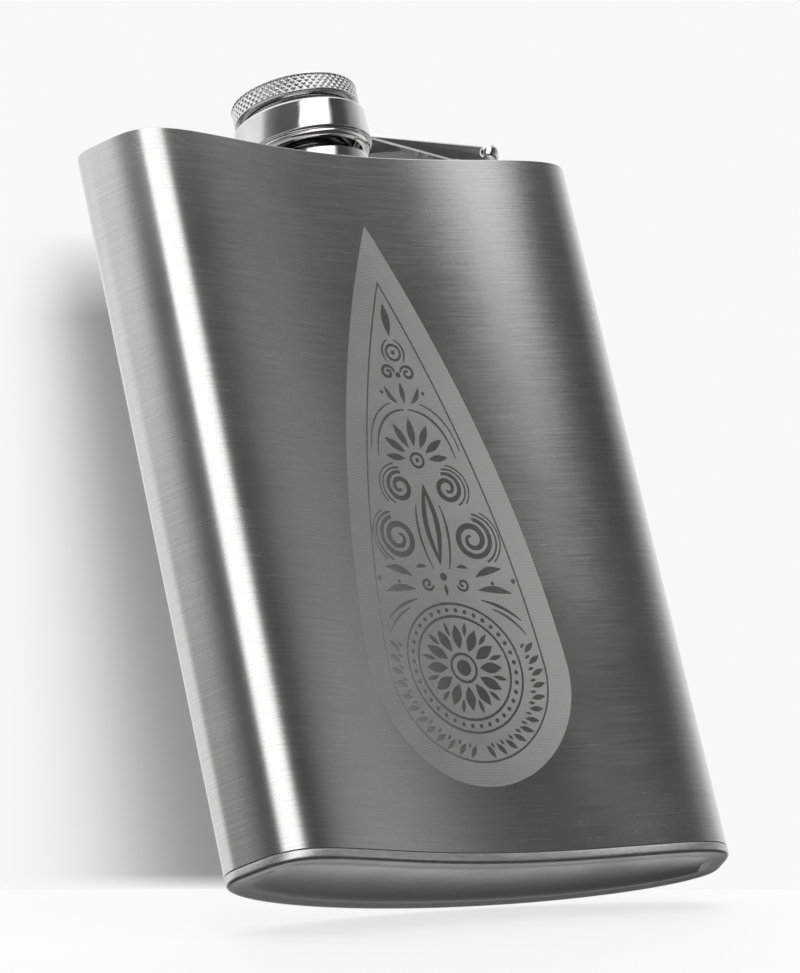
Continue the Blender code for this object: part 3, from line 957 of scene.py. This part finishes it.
def knurled_steel():
    """Cap head: bright rolled diamonds, duller in the grooves."""
    material, nodes = new_material("knurled_steel", rgb(0.68, 0.67, 0.65))
    place = nodes.stretched()
    grain = nodes.noise(place, 3800, 2.0, 0.6)
    cloud = nodes.noise(place, 300, 3.0, 0.6)
    color = nodes.shades(grain, (0.60, 0.59, 0.575), (0.72, 0.71, 0.69))
    rough = nodes.plus(nodes.span(grain, 0.16, 0.26), nodes.span(cloud, 0.0, 0.06))
    normal = nodes.bump(grain, 0.25, 0.00003)
    finish_metal(nodes, color, rough, normal)
    return material


def etched_steel():
    """Laser-etched ornament: pale, matt and finely ruled."""
    material, nodes = new_material("etched_steel", rgb(0.55, 0.52, 0.49))
    place = nodes.stretched()
    ruling = nodes.add("ShaderNodeTexWave", {"Vector": nodes.stretched((0, 0, 1)),
                                             "Scale": 1200.0, "Distortion": 0.6,
                                             "Detail": 2.0}, bands_direction="Z").outputs[1]
    grain = nodes.noise(place, 5200, 3.0, 0.65)
    cloud = nodes.noise(place, 120, 4.0, 0.6)
    pattern = nodes.plus(nodes.times(ruling, 0.45), nodes.times(grain, 0.55))
    color = nodes.shades(pattern, (0.38, 0.365, 0.345), (0.52, 0.50, 0.475))
    rough = nodes.plus(nodes.span(pattern, 0.40, 0.54), nodes.span(cloud, -0.04, 0.04))
    normal = nodes.bump(pattern, 0.7, 0.00005)
    finish_metal(nodes, color, rough, normal)
    return material


def milky_silicone():
    """Seal: pale rubber that lets a little light into itself."""
    material, nodes = new_material("milky_silicone", rgb(0.82, 0.82, 0.80))
    place = nodes.stretched()
    cloud = nodes.noise(place, 180, 4.0, 0.6)
    grain = nodes.noise(place, 2600, 2.0, 0.5)
    color = nodes.shades(cloud, (0.74, 0.74, 0.71), (0.86, 0.86, 0.84))
    rough = nodes.span(grain, 0.38, 0.52)
    shader = nodes.add("ShaderNodeBsdfPrincipled", {
        "Base Color": color, "Roughness": rough, "Normal": nodes.bump(grain, 0.2, 0.00004),
        "Subsurface Weight": 0.35, "Subsurface Scale": 0.0012})
    nodes.add("ShaderNodeOutputMaterial", {"Surface": shader.outputs[0]})
    return material


# ---- studio

# Direction in which the camera sees the flask, as heading from +Y towards +X and rise above
# the level, in degrees, and how far the flask's own upright leans over in the picture
VIEW_HEADING = 38.36
VIEW_RISE = 19.57
VIEW_LEAN = 12.63
VIEW_DISTANCE = 0.745           # metres
VIEW_AIM = Vector((-4.35, -9.08, 63.86)) * MM
LENS = 171.8                    # focal length and sensor, in millimetres
SENSOR = 36.0


def view_axes():
    """The camera's right, up and forward directions."""
    heading, rise, lean = map(math.radians, (VIEW_HEADING, VIEW_RISE, VIEW_LEAN))
    forward = Vector((math.sin(heading) * math.cos(rise), math.cos(heading) * math.cos(rise),
                      math.sin(rise)))
    level_right = Vector((math.cos(heading), -math.sin(heading), 0))
    level_up = level_right.cross(forward)
    up = level_up * math.cos(lean) + level_right * math.sin(lean)
    return forward.cross(up), up, forward


def view_matrix():
    right, up, forward = view_axes()
    turn = Matrix((right, up, -forward)).transposed().to_4x4()
    return Matrix.Translation(VIEW_AIM - forward * VIEW_DISTANCE) @ turn


def make_camera():
    data = bpy.data.cameras.new("camera")
    data.lens = LENS
    data.sensor_width = SENSOR
    data.clip_start = 0.05
    data.clip_end = 20.0
    camera = add_object("camera", data)
    camera.matrix_world = view_matrix()
    bpy.context.scene.camera = camera


# Brightness of the studio round the flask by compass heading (degrees from +Y towards +X):
# a tall softbox on one side, dark flats beside it and pale walls elsewhere
STUDIO = [
    (0, 1.00), (31, 1.15), (60, 1.10), (90, 0.95), (105, 0.62), (117, 0.38), (124, 0.29),
    (130, 0.16), (137, 0.09), (158, 0.07), (162, 0.45), (165, 1.95), (213, 1.95), (216, 0.13),
    (250, 0.13), (260, 0.19), (268, 0.27), (276, 0.42), (287, 1.12), (320, 1.15), (360, 1.00),
]
STUDIO_PEAK = max(brightness for heading, brightness in STUDIO)
STUDIO_SKEW = 0.8               # radians it turns for each unit of height on the unit sphere
SKEW_LEVEL = 20.0               # rise in degrees at which it isn't turned
OVERHEAD = 1.5
OVERHEAD_RISE = (0.55, 0.85)    # heights on the unit sphere at which it starts and is full
UNDERNEATH = 0.07
UNDERNEATH_FALL = (-0.32, -0.12)
DOME = 1.35                     # soft overhead light on the floor and other matt things
DOME_RISE = (0.2, 0.9)

# What the camera sees behind the flask: a pale wall with a soft shade on it. Its places and
# widths are slopes from the middle of the view, and its depth is a share of what is displayed.
BACKDROP = 0.94
SHADE_DEPTH = 0.41
SHADE_EDGE = -0.0549            # its deepest line, level with the middle of the view
SHADE_SLANT = 0.215             # how far that line moves to the left for each unit upwards
SHADE_SOFTNESS = 0.0111         # width on the left of that line, level with the middle
SHADE_WIDENING = 0.075          # added width for each unit downwards
SHADE_LEAST_SOFTNESS = 0.004
SHADE_PAST_EDGE = (0.01, 0.05)  # where it fades out on the right of the line
SHADE_TOP = (0.0365, 0.0550)    # where it fades out upwards
SHADE_FOOT = (-0.0870, -0.0834)  # where it fades in above the floor
DISPLAY_POWER = 2.2

# Floor and key light, in metres
FLOOR_GLOW = 0.74
FLOOR_NEAR = 1.6                # reach from the flask towards the camera
FLOOR_FAR = 0.035
FLOOR_SIDE = 0.9
FLOOR_DROP = 0.0002             # gap under the flask's lowest edge
KEY_PLACE = Vector((0.5, -0.5, 1.1))
KEY_SIZE = 0.9
KEY_ENERGY = 0.8


def backdrop(nodes, direction):
    """Pale wall far behind the flask, with the soft shade that falls beside its left edge."""
    right, up, forward = view_axes()
    depth = nodes.share_along(direction, forward)
    across = nodes.math("DIVIDE", nodes.share_along(direction, right), depth)
    upward = nodes.math("DIVIDE", nodes.share_along(direction, up), depth)
    edge = nodes.minus(SHADE_EDGE, nodes.times(upward, SHADE_SLANT))
    past = nodes.minus(across, edge)
    before = nodes.math("MAXIMUM", nodes.minus(edge, across), 0.0)
    softness = nodes.minus(SHADE_SOFTNESS, nodes.times(upward, SHADE_WIDENING))
    reach = nodes.math("DIVIDE", before, nodes.math("MAXIMUM", softness, SHADE_LEAST_SOFTNESS))
    shade = nodes.math("EXPONENT", nodes.times(nodes.math("POWER", reach, 2.0), -0.5))
    for fade in (nodes.span(upward, 1.0, 0.0, *SHADE_TOP),
                 nodes.span(upward, 0.0, 1.0, *SHADE_FOOT),
                 nodes.span(past, 1.0, 0.0, *SHADE_PAST_EDGE)):
        shade = nodes.times(shade, fade)
    level = nodes.minus(1.0, nodes.times(shade, SHADE_DEPTH))
    return nodes.grey(nodes.times(nodes.math("POWER", level, DISPLAY_POWER), BACKDROP))


def make_world():
    """Studio for reflections, a soft dome for matt surfaces and a wall for the camera alone."""
    world = bpy.data.worlds.new("studio")
    bpy.context.scene.world = world
    world.use_nodes = True
    nodes = Nodes(world.node_tree)
    direction = nodes.add("ShaderNodeTexCoord").outputs["Generated"]
    axes = nodes.add("ShaderNodeSeparateXYZ", {0: direction}).outputs
    height = nodes.minus(axes["Z"], math.sin(math.radians(SKEW_LEVEL)))
    heading = nodes.math("ARCTAN2", axes["X"], axes["Y"])
    turn = nodes.plus(heading, nodes.times(height, STUDIO_SKEW))
    share = nodes.math("FRACT", nodes.plus(nodes.math("DIVIDE", turn, 2 * math.pi), 1.0))
    ramp = nodes.add("ShaderNodeValToRGB", {"Fac": share})
    stops = ramp.color_ramp.elements
    while len(stops) < len(STUDIO):
        stops.new(0.5)
    for stop, (degrees, brightness) in zip(stops, STUDIO):
        stop.position = degrees / 360
        stop.color = grey(brightness / STUDIO_PEAK)
    walls = nodes.add("ShaderNodeVectorMath", {0: ramp.outputs["Color"], "Scale": STUDIO_PEAK},
                      operation="SCALE").outputs[0]
    above = nodes.span(axes["Z"], 0.0, 1.0, *OVERHEAD_RISE)
    below = nodes.span(axes["Z"], 1.0, 0.0, *UNDERNEATH_FALL)
    light = nodes.blend(above, walls, grey(OVERHEAD))
    light = nodes.blend(below, light, grey(UNDERNEATH))

    path = nodes.add("ShaderNodeLightPath").outputs
    _, up, _ = view_axes()
    dome = nodes.grey(nodes.span(nodes.share_along(direction, up), 0.0, DOME, *DOME_RISE))
    light = nodes.blend(path["Is Diffuse Ray"], light, dome)
    color = nodes.blend(path["Is Camera Ray"], light, backdrop(nodes, direction))
    background = nodes.add("ShaderNodeBackground", {"Color": color, "Strength": 1.0})
    nodes.add("ShaderNodeOutputWorld", {"Surface": background.outputs[0]})


def make_floor():
    """Pale sheet under the flask, level in the picture: the flask leans back on its edge."""
    right, up, forward = view_axes()
    foot = min((Vector((x, y, 0)) for x, y in SECTION), key=lambda p: p.dot(up)) * MM
    foot -= up * FLOOR_DROP
    work = bmesh.new()
    corners = [foot + right * across + forward * away for across, away in
               ((-FLOOR_SIDE, -FLOOR_NEAR), (FLOOR_SIDE, -FLOOR_NEAR),
                (FLOOR_SIDE, FLOOR_FAR), (-FLOOR_SIDE, FLOOR_FAR))]
    work.faces.new([work.verts.new(corner) for corner in corners])
    mesh = bpy.data.meshes.new("floor")
    work.to_mesh(mesh)
    work.free()
    floor = add_object("floor", mesh)
    material, nodes = new_material("pale_floor", grey(0.85))
    cloud = nodes.noise(nodes.stretched(), 8.0, 3.0, 0.5)
    color = nodes.blend(cloud, grey(0.12), grey(0.15))
    shader = nodes.add("ShaderNodeBsdfPrincipled", {
        "Base Color": color, "Roughness": 0.7, "Emission Color": grey(1.0),
        "Emission Strength": FLOOR_GLOW})
    nodes.add("ShaderNodeOutputMaterial", {"Surface": shader.outputs[0]})
    mesh.materials.append(material)
    floor.visible_glossy = False


def make_key_light():
    """Soft light from above on the floor; the metal's reflections come from the studio."""
    data = bpy.data.lights.new("key", "AREA")
    data.shape = "DISK"
    data.size = KEY_SIZE
    data.energy = KEY_ENERGY
    key = add_object("key", data)
    aim = (-KEY_PLACE).to_track_quat("-Z", "Y").to_matrix().to_4x4()
    key.matrix_world = Matrix.Translation(KEY_PLACE) @ aim
    key.visible_glossy = False


# ---- assembly

def place_piece(piece, material, body, slot, *replaced):
    """Gives a piece its material and body, and hides the CAD nodes that it stands for; the slot is
    not used.
    """
    piece.data.materials.clear()
    piece.data.materials.append(material)
    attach(piece, body)
    if replaced:
        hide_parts(*replaced)


def main():
    bpy.context.scene.view_settings.view_transform = "Standard"
    make_camera()
    make_world()
    make_floor()
    make_key_light()

    satin, ground, polished = satin_steel(), ground_steel(), polished_steel()
    place_piece(make_body_shell(), satin, "flask", "brushed_body", "body_shell")
    place_piece(make_etching(), etched_steel(), "flask", "brushed_body")
    place_piece(make_base_plate(), ground, "flask", "ground_plate", "base_plate")
    place_piece(make_top_plate(), ground, "flask", "ground_plate", "top_plate")
    place_piece(make_neck(), polished, "flask", "polished_steel", "neck")
    place_piece(make_neck_shoulder(), polished, "flask", "polished_steel", "neck_shoulder")
    place_piece(make_hinge_bracket(), polished, "flask", "polished_steel", "hinge_bracket")
    place_piece(make_hinge_pin(), polished, "flask", "polished_steel", "hinge_pin")
    place_piece(make_hinge_arm(), polished, "arm", "polished_steel", "hinge_arm")
    place_piece(make_collar_ring(), polished, "arm", "polished_steel", "collar_ring")
    place_piece(make_cap_seal(), milky_silicone(), "seal", "silicone", "cap_seal")
    place_piece(make_cap_top(), knurled_steel(), "cap", "knurled_steel", "cap_top")
    place_piece(make_cap_insert(), polished, "cap", "polished_steel", "cap_insert")


main()
